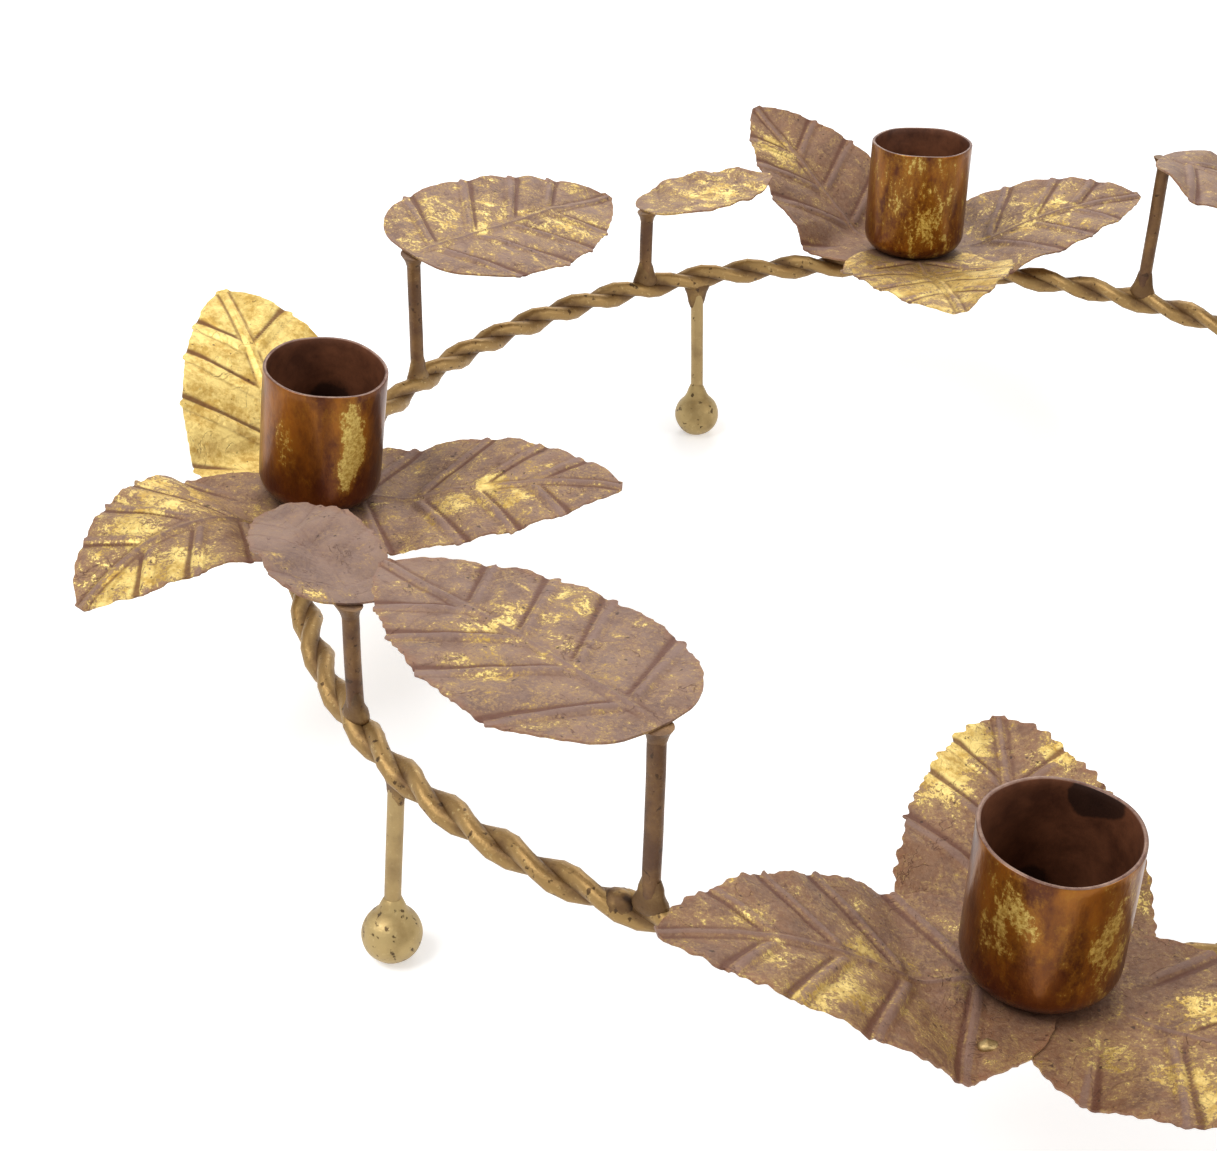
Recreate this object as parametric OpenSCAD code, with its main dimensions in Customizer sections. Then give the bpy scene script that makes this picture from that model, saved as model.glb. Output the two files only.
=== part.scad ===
// Candle ring: a twisted wire ring on four ball-footed legs, with four candle
// cups on leaf rosettes and eight wire posts that each hold one leaf.
// Millimetres, +Z up, origin on the table at the ring's axis.
// Angles round the ring are counted anticlockwise from +X, seen from above.

/* [Ring] */
// Radius of the twisted ring's centre line
ring_r = 123; // [110:0.5:140]
// How far the hand-bent ring is out of round, as a share of its radius
ring_oval = 0.02; // [0:0.005:0.03]
// Diameter of the wire of the ring, the legs and the posts
wire_d = 3; // [2.6:0.1:3.4]
// Number of full turns of the two wires round each other
twist_turns = 32; // [28:1:40]
// Height of the ring's centre line above the table
ring_h = 39; // [30:1:60]
// Gap between the two ends of each ring wire, where they meet
end_gap = 0.4; // [0.2:0.1:1]

/* [Feet] */
// Diameter of a ball foot
foot_d = 10.8; // [8:0.2:14]
// Width of the flat that a ball foot stands on
foot_flat_d = 4; // [2:0.2:5]
// Depth of the socket that a leg wire is soldered into
socket_depth = 3; // [2:0.5:4]

/* [Cups] */
// Bore of a cup, for a household candle of 22 mm
cup_bore = 22.6; // [21:0.1:24]
// Thickness of a cup's wall and floor
cup_wall = 0.7; // [0.5:0.1:1]
// Height of a cup
cup_h = 26.5; // [20:0.5:32]
// Radius of the round edge at a cup's foot
cup_edge = 4.5; // [3:0.5:6]

/* [Leaves] */
// Length of a large leaf along its midrib
large_leaf_l = 63; // [55:1:70]
// Width of a large leaf
large_leaf_w = 39; // [32:1:42]
// Length of a small leaf along its midrib
small_leaf_l = 36; // [32:1:44]
// Width of a small leaf
small_leaf_w = 22.5; // [18:0.5:26]
// Thickness of the leaf sheet
leaf_t = 0.5; // [0.4:0.1:0.8]
// Length of one tooth of a leaf's edge
tooth_l = 3; // [2.8:0.1:4]
// Depth of one tooth of a leaf's edge
tooth_depth = 0.9; // [0.4:0.1:1.4]
// Number of side veins on each half of a leaf
vein_count = 5; // [4:1:8]
// Depth of the pressed veins
vein_depth = 0.35; // [0.1:0.05:0.5]

/* [Fits] */
// Solder gap between stacked sheets, and between a wire's end and its seat
solder_gap = 0.1; // [0.05:0.05:0.3]
// Clearance round a leg wire in its socket
socket_clear = 0.05; // [0.02:0.01:0.1]

/* [Hidden] */
$fn = 48;
wire_r = wire_d/2;

// Colours
gold = "#b59a68";
pale_gold = "#c4ab78";
bronze = "#8d7350";
amber = "#7a4a14";
leaf_brown = "#9a7f70";
leaf_gold = "#c9a24a";

// Where the ends of the ring wires meet, and where the ring is widest
joint_at = 246.5;
oval_at = 59;
// Angle of the first wire round the pair's centre at the +X side
lay_at_start = 160;
// Facets of the ring wires, along one turn and round the wire
lay_steps = 8;
wire_sides = 6;
// Part of a degree to each side over which a wire's direction is measured
small_step = 0.05;
// Room between a wire's helix and its facets' chords
lay_room = 0.05;
// Radius of a wire's helix, with room for the chords of its facets
lay_r = wire_r/cos(180/lay_steps) + lay_room;
// Height of the highest crest of the twisted pair above its centre line
ring_top = lay_r + wire_r;

foot_r = foot_d/2;
// Height of a ball foot's centre when it stands on its flat
foot_z = sqrt(foot_r*foot_r - foot_flat_d*foot_flat_d/4);

// Rosettes: [name, angle, shift out from the ring's line, lean, towards,
//   leaves, what the hand-cut cup stands over the others], with the leaves
//   listed from the lowest up.
// Each leaf: [direction, heel, crease, curl, fold, twist] where heel is how far
// it runs past the cup's axis, crease is the bend just past the cup, curl is
// the bend per mm beyond it, fold lifts both edges and twist turns per mm.
rosettes = [
  ["front", 270.8, 3.5, 0, 0,
    [[88, 6, 10, -0.15, 13, -0.15], [324, 0, 15, 0, 0, -0.2],
     [192, 1, 41, -0.75, 0, 0.15]], 0],
  ["left", 178.5, -1, 5.8, 0,
    [[120, 3, 46, -0.85, 2, -0.2], [232, 0, 42, -1.75, 0, 0.1],
     [-1, 2, 27, -0.65, -1, 0.1]], 1.5],
  ["back", 85.1, 0, 4.7, 90,
    [[134, 1, 36, -0.1, 10, -0.3], [16, 1, 25, -0.5, 4, 0.3],
     [273, 1, 18, -0.35, 8, 0.3]], 0],
  ["right", 358, 0, 0, 0,
    [[298, 1, 22, -0.5, 2, 0.1], [52, 1, 34, -0.6, 4, -0.2],
     [180, 3, 24, -0.6, -2, 0.1]], 0],
];
// Distance from a cup's axis to the crease of its leaves
rosette_flat = 16;

// Posts: [name, angle, height of the leaf above the ring's line, large leaf,
//   [direction, rise, roll, curl, fold, twist]]
posts = [
  ["front_tall", 244, 37, true, [135, 1, 6, -0.11, -1, -0.09]],
  ["left_short", 212, 25.2, false, [119, 5, 16, -0.6, 11, -1]],
  ["left_tall", 151.4, 31, true, [48, -4, 7, -0.05, 1.5, 0.17]],
  ["back_short", 117, 20, false, [31, 4.6, -10, -0.13, 2, 0.5]],
  ["back_tall", 59, 36.4, true, [328, -4, -9, -0.5, -12, -0.35]],
  ["right_short", 28, 22, false, [300, 2, 6, -0.3, 4, 0.3]],
  ["right_tall", 331, 33, true, [236, -3, 6, 0.05, -2, 0.1]],
  ["front_short", 302, 23, false, [214, 2, -8, -0.2, 4, -0.3]],
];
// Distance from a post's axis to where its leaf starts to bend
post_leaf_flat = 6;
// How far a leaf runs past the post that carries it
leaf_heel = 0.8;

// Legs: [name, angle at the ring, foot's angle, foot's shift out from the
// ring's line]
legs = [
  ["front_left", 218.7, 219.5, 3.6],
  ["back_left", 110.3, 111, -7],
  ["back_right", 24, 24, 0],
  ["front_right", 312, 312, 0],
];

// Radius of the ring's centre line at an angle
function ring_at(angle) = ring_r*(1 + ring_oval*cos(2*(angle - oval_at)));

// Unit vector out from the ring's axis at an angle
function outward(angle) = [cos(angle), sin(angle), 0];

// Angle of a ring wire round the pair's centre line, right-hand lay
function lay(angle, side) = lay_at_start + 180*side - twist_turns*angle;

function lay_out(angle, side) =
  cos(lay(angle, side))*outward(angle) + [0, 0, sin(lay(angle, side))];

function wire_centre(angle, side) =
  ring_at(angle)*outward(angle) + [0, 0, ring_h] + lay_r*lay_out(angle, side);

function unit(v) = v/norm(v);

// One station of a swept ring wire: points round the wire at an angle
function wire_station(angle, side) =
  let (
    centre = wire_centre(angle, side),
    ahead = unit(wire_centre(angle + small_step, side) - wire_centre(angle - small_step, side)),
    across = unit(cross(ahead, lay_out(angle, side))),
    out = cross(across, ahead)
  )
  [for (k = [0:wire_sides - 1])
    let (turn = 360*k/wire_sides)
    centre + wire_r*(cos(turn)*out + sin(turn)*across)];

// A ring wire, swept once round from one end to the other
module ring_wire(side) {
  end_turn = end_gap/ring_r*180/PI/2;
  stations = twist_turns*lay_steps;
  span = 360 - 2*end_turn;
  rings = [for (i = [0:stations])
    wire_station(joint_at + end_turn + span*i/stations, side)];
  points = [for (ring = rings) each ring];
  walls = [for (i = [0:stations - 1]) for (k = [0:wire_sides - 1])
    let (
      next = (k + 1)%wire_sides,
      a = i*wire_sides + k,
      b = i*wire_sides + next,
      c = a + wire_sides,
      d = b + wire_sides
    )
    each [[a, b, d], [a, d, c]]];
  first = [for (k = [1:wire_sides - 2]) [0, k + 1, k]];
  last = [for (k = [1:wire_sides - 2])
    [stations*wire_sides, stations*wire_sides + k, stations*wire_sides + k + 1]];
  color(gold) polyhedron(points, concat(walls, first, last), convexity = 12);
}

// Height of the pair's crest over its centre line within a wire's footprint
function crest(angle) =
  let (reach = asin(wire_r/ring_r))
  wire_r + lay_r*max([for (step = [-1:0.25:1]) abs(sin(lay(angle + reach*step, 0)))]);

// Outline of a leaf: half its width at a share of its length, blunt at the
// stem end and pointed at the tip
heel_power = 0.4;
tip_power = 0.75;
widest = heel_power/(heel_power + tip_power);
function outline(share) =
  pow(share, heel_power)*pow(1 - share, tip_power)
  /(pow(widest, heel_power)*pow(1 - widest, tip_power));

// Displacement along an arc of so many degrees per mm
function arc(run, rate, start) =
  abs(rate) < 0.001 ? [run*cos(start), run*sin(start)]
  : 180/(PI*rate)*[sin(start + rate*run) - sin(start), cos(start) - cos(start + rate*run)];

// Length of the crease, and the length over which a fold grows to the full
crease_l = 4;
fold_l = 8;

// The midrib's place and slope [along, up, slope] at a distance from the seat
function midrib(run, flat, crease, curl) =
  let (
    sharp = crease/crease_l + curl,
    past = run - flat,
    knee = arc(crease_l, sharp, 0),
    bend = past < crease_l ? arc(max(past, 0), sharp, 0)
      : knee + arc(past - crease_l, curl, sharp*crease_l)
  )
  past <= 0 ? [run, 0, 0]
  : [flat + bend[0], bend[1],
     past < crease_l ? sharp*past : sharp*crease_l + curl*(past - crease_l)];

// A point of the bent leaf. run is along the midrib, off is sideways and rise
// is square to the sheet.
function bent(run, off, rise, flat, pose) =
  let (
    crease = pose[0],
    curl = pose[1],
    past = max(0, run - flat),
    fold = pose[2]*min(1, past/fold_l),
    turn = pose[3]*past,
    rib = midrib(run, flat, crease, curl),
    side = off*cos(fold) - sign(off)*rise*sin(fold),
    lift = abs(off)*sin(fold) + rise*cos(fold),
    side_turned = side*cos(turn) - lift*sin(turn),
    lift_turned = side*sin(turn) + lift*cos(turn)
  )
  [rib[0] - lift_turned*sin(rib[2]), side_turned, rib[1] + lift_turned*cos(rib[2])];

// Length of a leaf's edge over the length of its midrib
edge_stretch = 1.12;
// Shares of a leaf's length between which its teeth stand
first_tooth = 0.004;
last_tooth = 0.994;
// How far on to the next valley a tooth's point stands
tooth_lead = 0.8;
// Slope of the veins: run along the midrib over run across, and the least
// share of the edge's place that a vein leaves the midrib at
vein_slant = 0.55;
vein_start = 0.12;
// Length over which the pressed relief starts and then grows to the full,
// clear of the leaves stacked at the seat, and its height on the midrib
relief_l = 5;
midrib_rise = 1.5;

// A pressed leaf. Its underside at the seat is the XY plane, the midrib runs
// along +X and heel is the length behind the seat.
module leaf(length, width, heel, flat, pose) {
  rows = round(edge_stretch*length/tooth_l);
  function edge_share(i) = first_tooth + (last_tooth - first_tooth)*i/rows;
  function rib_share(i) = i == rows - 1 ? 1
    : max(edge_share(i) - vein_slant*outline(edge_share(i))*width/2/length,
        vein_start*edge_share(i));
  function relief(run, i) =
    vein_depth*min(1, max(0, (run - flat)/relief_l - 1))*cos(360*i*vein_count/rows);
  // Columns across one row: the two half-way lines and the midrib
  function cross_row(i, rise) =
    let (
      half = outline(edge_share(i))*width/2,
      tip = edge_share(i)*length - heel,
      rib = rib_share(i)*length - heel,
      middle = (tip + rib)/2,
      press = rise + relief(middle, i)
    )
    [bent(middle, -half/2, press, flat, pose),
     bent(rib, 0, rise + midrib_rise*relief(rib, 0), flat, pose),
     bent(middle, half/2, press, flat, pose)];
  // The edge of one row: its valley, then the tooth that points on from it
  function edge_row(i, rise, side) =
    let (
      share = edge_share(i),
      next = min(last_tooth, share + tooth_lead/rows),
      half = outline(share)*width/2,
      next_half = outline(next)*width/2 + (i < rows - 1 ? tooth_depth : 0)
    )
    [bent(share*length - heel, side*half, rise, flat, pose),
     bent(next*length - heel, side*next_half, rise, flat, pose)];
  // Points of one row of one face: valley, tooth, three columns, valley, tooth
  function row(i, rise) = concat(edge_row(i, rise, -1), cross_row(i, rise), edge_row(i, rise, 1));
  last = rows - 1;
  under = [for (i = [0:last]) each row(i, 0)];
  over = [for (i = [0:last]) each row(i, leaf_t)];
  face = [for (i = [0:last - 1])
    let (p = 7*i, q = 7*(i + 1))
    each [
      [p + 1, p, p + 2], [p + 1, p + 2, q + 2], [p + 1, q + 2, q],
      [p + 2, p + 3, q + 3], [p + 2, q + 3, q + 2],
      [p + 3, p + 4, q + 4], [p + 3, q + 4, q + 3],
      [p + 5, p + 6, p + 4], [p + 4, p + 6, q + 4], [p + 6, q + 5, q + 4]]];
  tops = len(under);
  rim = concat(
    [for (i = [0:last - 1]) each [7*i, 7*i + 1]], [7*last],
    [7*last + 2, 7*last + 3, 7*last + 4],
    [for (i = [last:-1:1]) each [7*i + 5, 7*(i - 1) + 6]], [5],
    [4, 3, 2]);
  walls = [for (k = [0:len(rim) - 1])
    let (a = rim[k], b = rim[(k + 1)%len(rim)])
    each [[a, b, b + tops], [a, b + tops, a + tops]]];
  upper = [for (f = face) [f[0] + tops, f[2] + tops, f[1] + tops]];
  polyhedron(concat(under, over), concat(face, upper, walls), convexity = 8);
}

module at_ring(angle) {
  translate(ring_at(angle)*outward(angle)) children();
}

// Frame of a post's leaf, at the leaf's underside over the post
module at_post_leaf(post) {
  pose = post[4];
  at_ring(post[1])
    translate([0, 0, ring_h + post[2]])
      rotate([0, 0, pose[0]])
        rotate([0, -pose[1], 0])
          rotate([pose[2], 0, 0])
            children();
}

function find(table, name) = [for (row = table) if (row[0] == name) row][0];

module post_leaf(name) {
  post = find(posts, name);
  pose = post[4];
  length = post[3] ? large_leaf_l : small_leaf_l;
  width = post[3] ? large_leaf_w : small_leaf_w;
  color(leaf_brown)
    at_post_leaf(post)
      leaf(length, width, leaf_heel, post_leaf_flat, [0, pose[3], pose[4], pose[5]]);
}

// Everything below a post's leaf, to cut wires and solder to its slope
module below_leaf(post, span) {
  at_post_leaf(post)
    translate([-span, -span, -span - solder_gap])
      cube([2*span, 2*span, span]);
}

module post(name) {
  row = find(posts, name);
  foot = ring_h + crest(row[1]) + solder_gap;
  color(bronze)
    intersection() {
      at_ring(row[1])
        translate([0, 0, foot])
          cylinder(h = row[2] + ring_h + wire_d - foot, d = wire_d);
      below_leaf(row, row[2]);
    }
}

// Collar of solder round a wire: a band at the end that it is soldered to,
// then a taper, whose hollow lies at these shares of its width and height.
collar_h = 2.2;
collar_w = 1.3;
collar_hollow = [0.35, 0.4];
// Height of the band, at the ring and under a leaf, whose slope cuts it
ring_band = 0.3;
leaf_band = 1.6;
module collar(wide_end_up, band) {
  turn = wide_end_up ? 180 : 0;
  rotate([turn, 0, 0])
    rotate_extrude()
      polygon([
        [wire_r, 0],
        [wire_r + collar_w, 0],
        [wire_r + collar_w, band],
        [wire_r + collar_w*collar_hollow[0], band + collar_h*collar_hollow[1]],
        [wire_r, band + collar_h],
      ]);
}

// Solder under the eight leaves, at the tops of their posts. The leaf's slope
// cuts each collar in the middle of its band.
module leaf_solder() {
  color(bronze)
    for (row = posts)
      intersection() {
        at_ring(row[1])
          translate([0, 0, ring_h + row[2] + leaf_band/2])
            collar(true, leaf_band);
        below_leaf(row, row[2]);
      }
}

// Height of a leg's top: just under the twisted pair
function leg_top(row) = ring_h - crest(row[1]) - solder_gap;

function foot_centre(row) =
  (ring_at(row[2]) + row[3])*outward(row[2]) + [0, 0, foot_z];

// From a foot's centre to the ring's centre line above its leg
function leg_run(row) =
  ring_at(row[1])*outward(row[1]) + [0, 0, ring_h] - foot_centre(row);

// Frame of a leg: at its foot's centre, with the leg along +Z
module at_leg(row) {
  run = leg_run(row);
  translate(foot_centre(row))
    rotate([0, acos(run[2]/norm(run)), atan2(run[1], run[0])])
      children();
}

// The space above a leg's top, to cut the wire and the solder level
module above_leg(row) {
  translate(foot_centre(row) + [-foot_d*2, -foot_d*2, leg_top(row) - foot_z])
    cube([foot_d*4, foot_d*4, foot_d]);
}

// Solder where legs and posts meet the ring
module leg_solder() {
  color(gold)
    union() {
      for (row = legs)
        difference() {
          at_leg(row)
            translate([0, 0, norm(leg_run(row)) - crest(row[1])])
              collar(true, ring_band);
          above_leg(row);
        }
      for (row = posts)
        at_ring(row[1])
          translate([0, 0, ring_h + crest(row[1]) + solder_gap])
            collar(false, ring_band);
    }
}

module leg(name) {
  row = find(legs, name);
  seat = foot_r - socket_depth;
  color(gold)
    difference() {
      at_leg(row)
        translate([0, 0, seat])
          cylinder(h = norm(leg_run(row)) - seat, d = wire_d);
      above_leg(row);
    }
}

module foot(name) {
  row = find(legs, name);
  centre = foot_centre(row);
  color(pale_gold)
    difference() {
      translate(centre) sphere(r = foot_r);
      translate([centre[0] - foot_r, centre[1] - foot_r, -foot_r]) cube([foot_d, foot_d, foot_r]);
      at_leg(row)
        translate([0, 0, foot_r - socket_depth - solder_gap])
          cylinder(h = foot_d, r = wire_r + socket_clear);
    }
}

// Frame of a rosette: on the ring's crest, with the lean of its cup
module at_rosette(name) {
  row = find(rosettes, name);
  translate((ring_at(row[1]) + row[2])*outward(row[1]) + [0, 0, ring_h + ring_top + solder_gap])
    rotate([0, 0, row[4]])
      rotate([0, row[3], 0])
        rotate([0, 0, -row[4]])
          children();
}

// Rise from one leaf of the stack to the next
stack_step = leaf_t + solder_gap;

module rosette_leaf(name, level) {
  pose = find(rosettes, name)[5][level];
  color(leaf_gold)
    at_rosette(name)
      translate([0, 0, level*stack_step])
        rotate([0, 0, pose[0]])
          leaf(large_leaf_l, large_leaf_w, pose[1], rosette_flat,
            [pose[2], pose[3], pose[4], pose[5]]);
}

module cup(name) {
  bore_r = cup_bore/2;
  outer_r = bore_r + cup_wall;
  inner_edge = cup_edge - cup_wall;
  height = cup_h + find(rosettes, name)[6];
  color(amber)
    at_rosette(name)
      translate([0, 0, 3*stack_step])
        rotate_extrude($fn = 96)
          difference() {
            union() {
              translate([0, cup_edge]) square([outer_r, height - cup_edge]);
              square([outer_r - cup_edge, cup_edge]);
              intersection() {
                translate([outer_r - cup_edge, cup_edge]) circle(r = cup_edge);
                translate([outer_r - cup_edge, 0]) square(cup_edge);
              }
            }
            translate([0, cup_edge]) square([bore_r, height]);
            translate([0, cup_wall]) square([bore_r - inner_edge, cup_edge]);
            intersection() {
              translate([outer_r - cup_edge, cup_edge]) circle(r = inner_edge);
              translate([outer_r - cup_edge, cup_wall]) square(inner_edge);
            }
          }
}

ring_wire(0);  // ring_wire_a
ring_wire(1);  // ring_wire_b
leg("front_left");  // leg_front_left
leg("back_left");  // leg_back_left
leg("back_right");  // leg_back_right
leg("front_right");  // leg_front_right
foot("front_left");  // foot_front_left
foot("back_left");  // foot_back_left
foot("back_right");  // foot_back_right
foot("front_right");  // foot_front_right
leg_solder();
post("front_tall");  // post_front_tall
post("left_short");  // post_left_short
post("left_tall");  // post_left_tall
post("back_short");  // post_back_short
post("back_tall");  // post_back_tall
post("right_short");  // post_right_short
post("right_tall");  // post_right_tall
post("front_short");  // post_front_short
leaf_solder();
post_leaf("front_tall");  // leaf_front_tall
post_leaf("left_short");  // leaf_left_short
post_leaf("left_tall");  // leaf_left_tall
post_leaf("back_short");  // leaf_back_short
post_leaf("back_tall");  // leaf_back_tall
post_leaf("right_short");  // leaf_right_short
post_leaf("right_tall");  // leaf_right_tall
post_leaf("front_short");  // leaf_front_short
rosette_leaf("front", 0);  // rosette_front_1
rosette_leaf("front", 1);  // rosette_front_2
rosette_leaf("front", 2);  // rosette_front_3
rosette_leaf("left", 0);  // rosette_left_1
rosette_leaf("left", 1);  // rosette_left_2
rosette_leaf("left", 2);  // rosette_left_3
rosette_leaf("back", 0);  // rosette_back_1
rosette_leaf("back", 1);  // rosette_back_2
rosette_leaf("back", 2);  // rosette_back_3
rosette_leaf("right", 0);  // rosette_right_1
rosette_leaf("right", 1);  // rosette_right_2
rosette_leaf("right", 2);  // rosette_right_3
cup("front");  // cup_front
cup("left");  // cup_left
cup("back");  // cup_back
cup("right");  // cup_right
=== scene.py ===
"""Looks of the candle ring: a twisted wire ring on ball-footed legs, with
candle cups on pressed leaf rosettes and wire posts that hold single leaves."""
import math

import bmesh
import bpy
from mathutils import Matrix, Vector, noise


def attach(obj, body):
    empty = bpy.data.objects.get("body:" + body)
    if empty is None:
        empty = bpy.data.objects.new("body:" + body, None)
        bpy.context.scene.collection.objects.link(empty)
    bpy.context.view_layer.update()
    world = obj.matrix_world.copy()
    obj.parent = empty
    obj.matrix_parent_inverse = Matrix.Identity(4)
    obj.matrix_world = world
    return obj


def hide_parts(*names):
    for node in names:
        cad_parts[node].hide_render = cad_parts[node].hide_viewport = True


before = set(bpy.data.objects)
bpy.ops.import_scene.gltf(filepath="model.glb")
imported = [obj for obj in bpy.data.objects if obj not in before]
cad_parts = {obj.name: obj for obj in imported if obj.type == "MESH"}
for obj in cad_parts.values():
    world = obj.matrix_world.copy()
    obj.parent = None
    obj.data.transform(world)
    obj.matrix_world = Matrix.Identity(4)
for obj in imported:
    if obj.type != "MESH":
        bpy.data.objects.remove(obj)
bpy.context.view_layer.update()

# Noise vectors start from the clock unless they are given a seed
noise.seed_set(1)
MM = 0.001

# Sizes of the frame, in millimetres and degrees, as the CAD model has them
RING_R = 123.0
RING_OVAL = 0.02
OVAL_AT = 59.0
RING_H = 39.0
WIRE_R = 1.5
TWIST_TURNS = 32
LAY_AT_START = 160.0
SOLDER_GAP = 0.1
CAD_LAY_R = WIRE_R / math.cos(math.radians(22.5)) + 0.05
RING_TOP = CAD_LAY_R + WIRE_R
FOOT_R = 5.4
FOOT_FLAT_R = 2.0
FOOT_Z = math.sqrt(FOOT_R**2 - FOOT_FLAT_R**2)
SOCKET_DEPTH = 3.0
CUP_R = 12.0
CUP_WALL = 0.7
CUP_H = 26.5
CUP_EDGE = 4.5
LARGE_LEAF = (63.0, 39.0)
SMALL_LEAF = (36.0, 22.5)
LEAF_T = 0.5
STACK_STEP = LEAF_T + SOLDER_GAP
ROSETTE_FLAT = 16.0
POST_LEAF_FLAT = 6.0
LEAF_HEEL = 0.8
TOOTH_L = 3.0
TOOTH_DEPTH = 0.9
# How full a leaf's outline is towards its stem and its tip, as powers, how
# long its toothed edge is for each mm of it, and where a tooth has its point
STEM_POWER = 0.4
TIP_POWER = 0.75
EDGE_STRETCH = 1.12
TOOTH_LEAD = 0.8
# Side veins of a large leaf, from the stem end on: where each leaves the
# midrib, and how far it runs on for each mm to its left and to its right
VEINS = [(6.5, 0.5, 0.4), (18.1, 0.8, 0.6), (29.7, 1.0, 0.62), (41.3, 1.15, 0.7)]
# How much further from the stem end the veins of a rosette's leaves lie
ROSETTE_VEIN_SHIFT = 3.0
# The die's relief on a large leaf: half width and height of a side vein's rib
# and of the midrib, how far from a vein its grooves run, their half width and
# depth, and how high the fields between the veins swell
RIB_W = 0.82
RIB_H = 0.5
MIDRIB_W = 0.62
MIDRIB_H = 0.36
GROOVE_AT = 1.35
GROOVE_W = 0.5
GROOVE_DEPTH = 0.24
FIELD_H = 0.38
# How far out from a cup's axis the relief starts, on a rosette's top leaf and
# on those under it
TOP_RELIEF_AT = 7
RELIEF_AT = ROSETTE_FLAT - 4
# How far hand bending strays from a leaf's form, how deep its dents are for
# each size of leaf, and how fast both vary, as noise per mm
HAND_BEND = 0.7
HAND_RATE = 0.06
DENTS = {LARGE_LEAF: 0.2, SMALL_LEAF: 1.0}
DENT_RATE = 0.22
# Over how many mm past its flat seat a leaf is creased, and folded up
CREASE_L = 4.0
FOLD_L = 8.0
# Sheet as it shows, thinner than in the CAD model so that stacked leaves stay
# apart, the notch where a rib meets the edge, and what the file took off
SHEET_T = 0.42
NOTCH = 0.75
FILED = 0.3
# How wide the worn edge of a leaf is and how far the painted shade round a cup's foot spreads
WORN_W = 3.0
CUP_SHADE_REACH = 3.4
# How far down its wall a cup is out of true, how far out of round, how its
# rim ripples and how its cut edge is rounded
OUT_OF_TRUE = 9.0
OUT_OF_ROUND = 0.006
RIPPLE = 0.1
RIM_ROUNDING = 0.18
# How much the groove between the wires is filled, and how much their
# thickness varies, as shares of their radius
GROOVE_FILL = 0.26
WIRE_SWELL = 0.07
# How far a shaft runs on into its solder, how much of a post is spare and cut
# off under its leaf, and the solder's profiles as height and radius: a fillet
# round a post's foot, upwards, and a bead under a leaf
SHAFT_SINK = 1.2
POST_SPARE = 3
FILLET = [(-2.6, 1.0), (-2.0, 1.9), (-1.1, 2.35), (-0.3, 2.2), (0.5, 1.9), (1.4, 1.7), (2.6, 1.56),
          (4.2, 1.2)]
BEAD = [(-3.8, 1.2), (-2.4, 1.58), (-1.4, 1.85), (-0.6, 2.3), (0.3, 2.8), (2.5, 2.9)]
# The neck of a ball foot: its radius below and above, and its height
NECK_LOW_R = 3.4
NECK_TOP_R = 1.3
NECK_H = 2.6
# The weld that closes the ring, where it lies and its profile
WELD_AT = 241.6
WELD = [(-3.0, 0.6), (-2.7, 1.5), (-2.1, 2.2), (-1.4, 2.55), (-0.6, 2.75), (0.2, 2.8), (1.0, 2.7),
        (1.8, 2.45), (2.5, 1.95), (3.0, 1.3), (3.2, 0.6)]

# name: angle, shift out, lean, lean towards, leaves from the lowest up, each
# with direction, heel, crease, curl, fold and twist
ROSETTES = {
    "front": (270.8, 3.5, 0, 0, [(88, 6, 10, -0.15, 13, -0.15),
              (324, 0, 15, 0, 0, -0.2), (192, 1, 41, -0.75, 0, 0.15)]),
    "left": (178.5, -1, 5.8, 0, [(120, 3, 46, -0.85, 2, -0.2),
             (232, 0, 42, -1.75, 0, 0.1), (-1, 2, 27, -0.65, -1, 0.1)]),
    "back": (85.1, 0, 4.7, 90, [(134, 1, 36, -0.1, 10, -0.3),
             (16, 1, 25, -0.5, 4, 0.3), (273, 1, 18, -0.35, 8, 0.3)]),
    "right": (358, 0, 0, 0, [(298, 1, 22, -0.5, 2, 0.1),
              (52, 1, 34, -0.6, 4, -0.2), (180, 3, 24, -0.6, -2, 0.1)]),
}
# name: angle, leaf height over the ring's line, leaf size, and the leaf's
# direction, rise, roll, curl, fold and twist
POSTS = {
    "front_tall": (244, 37, LARGE_LEAF, (135, 1, 6, -0.11, -1, -0.09)),
    "left_short": (212, 25.2, SMALL_LEAF, (119, 5, 16, -0.6, 11, -1)),
    "left_tall": (151.4, 31, LARGE_LEAF, (48, -4, 7, -0.05, 1.5, 0.17)),
    "back_short": (117, 20, SMALL_LEAF, (31, 4.6, -10, -0.13, 2, 0.5)),
    "back_tall": (59, 36.4, LARGE_LEAF, (328, -4, -9, -0.5, -12, -0.35)),
    "right_short": (28, 22, SMALL_LEAF, (300, 2, 6, -0.3, 4, 0.3)),
    "right_tall": (331, 33, LARGE_LEAF, (236, -3, 6, 0.05, -2, 0.1)),
    "front_short": (302, 23, SMALL_LEAF, (214, 2, -8, -0.2, 4, -0.3)),
}
# name: angle at the ring, foot's angle, foot's shift out
LEGS = {
    "front_left": (218.7, 219.5, 3.6),
    "back_left": (110.3, 111, -7),
    "back_right": (24, 24, 0),
    "front_right": (312, 312, 0),
}
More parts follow.
